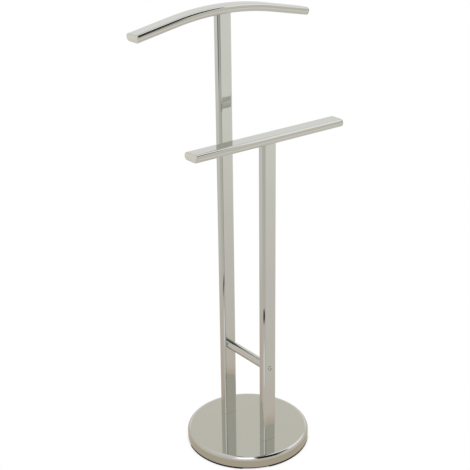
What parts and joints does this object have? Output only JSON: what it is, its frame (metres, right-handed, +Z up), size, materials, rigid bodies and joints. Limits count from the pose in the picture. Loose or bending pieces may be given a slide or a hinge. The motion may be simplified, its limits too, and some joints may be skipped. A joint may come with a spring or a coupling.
{
  "type": "valet stand",
  "caption": "Chromed floor-standing valet stand: round weighted base, tall post with a bent jacket hanger, short post with a straight trouser bar, and a round cross bar.",
  "frame": {"origin": "on the floor under the centre of the round base, at the bottom of the rubber pads", "axes": "+Z up; X along the trouser bar and the hanger; the short post with the trouser bar is at -Y (the front) and the tall post with the hanger at +Y (the back)"},
  "size_m": [0.478, 0.302, 1.07],
  "materials": {
    "chrome": "bright polished chrome plate on steel",
    "cap_chrome": "chrome-plated moulding, slightly softer polish than the tubes",
    "zinc_steel": "bright zinc-plated steel",
    "ballast_iron": "raw cast iron, dark and matt",
    "pad_rubber": "black rubber, matt"
  },
  "bodies": {
    "root": {"base_cover": "chrome", "base_weight": "ballast_iron", "base_bottom_plate": "zinc_steel", "base_pad_1": "pad_rubber", "base_pad_2": "pad_rubber", "base_pad_3": "pad_rubber", "base_pad_4": "pad_rubber", "bottom_plate_screw_1": "zinc_steel", "bottom_plate_screw_2": "zinc_steel", "bottom_plate_screw_3": "zinc_steel", "bottom_plate_screw_4": "zinc_steel", "tall_post": "chrome", "tall_post_foot_block": "zinc_steel", "tall_post_bolt": "zinc_steel", "tall_post_washer": "zinc_steel", "short_post": "chrome", "short_post_foot_block": "zinc_steel", "short_post_bolt": "zinc_steel", "short_post_washer": "zinc_steel", "cross_bar": "chrome", "cross_bar_insert_front": "zinc_steel", "cross_bar_screw_front": "chrome", "cross_bar_insert_rear": "zinc_steel", "cross_bar_screw_rear": "chrome", "hanger_bar": "chrome", "hanger_end_cap_left": "cap_chrome", "hanger_end_cap_right": "cap_chrome", "trouser_bar": "chrome", "trouser_bar_end_cap_left": "cap_chrome", "trouser_bar_end_cap_right": "cap_chrome"}
  },
  "joints": []
}
